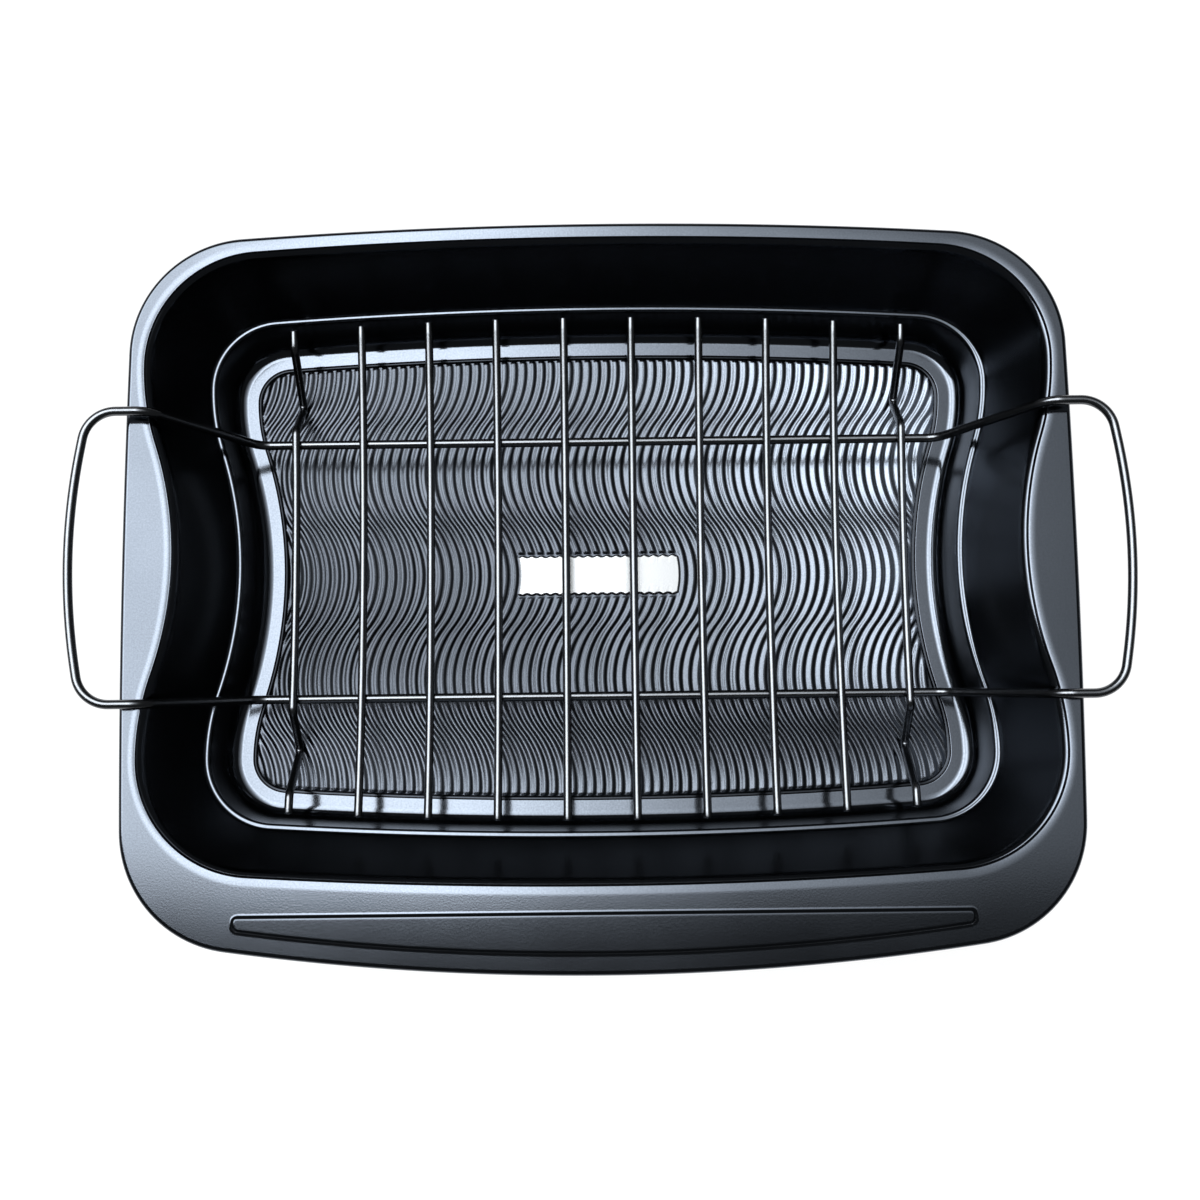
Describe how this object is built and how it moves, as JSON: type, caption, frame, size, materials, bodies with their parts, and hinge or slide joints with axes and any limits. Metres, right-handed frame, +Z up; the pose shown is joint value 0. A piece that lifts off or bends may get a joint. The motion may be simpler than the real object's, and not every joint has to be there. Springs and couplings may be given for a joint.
{
  "type": "roasting pan with rack",
  "caption": "Pressed steel roasting pan with waisted short sides, a wide front pull tab and a lift-out wire rack with two looped handles.",
  "frame": {"origin": "middle of the pan floor's underside", "axes": "+X along the long side, through both rack handles; +Y towards the back, away from the pull tab; +Z up"},
  "size_m": [0.3842, 0.2738, 0.0637],
  "materials": {
    "pan_coating": "satin",
    "rack_coating": "satin"
  },
  "bodies": {
    "pan_body": {"pan": "pan_coating"},
    "rack_body": {"rack_loop_wire": "rack_coating", "foot_wire_left": "rack_coating", "cross_wire_1": "rack_coating", "cross_wire_2": "rack_coating", "cross_wire_3": "rack_coating", "cross_wire_4": "rack_coating", "cross_wire_5": "rack_coating", "cross_wire_6": "rack_coating", "cross_wire_7": "rack_coating", "cross_wire_8": "rack_coating", "foot_wire_right": "rack_coating"}
  },
  "joints": [
    {"name": "rack_lift", "type": "slide", "parent": "pan_body", "child": "rack_body", "axis": [0, 0, 1], "range_m": [0, 0.12]}
  ]
}
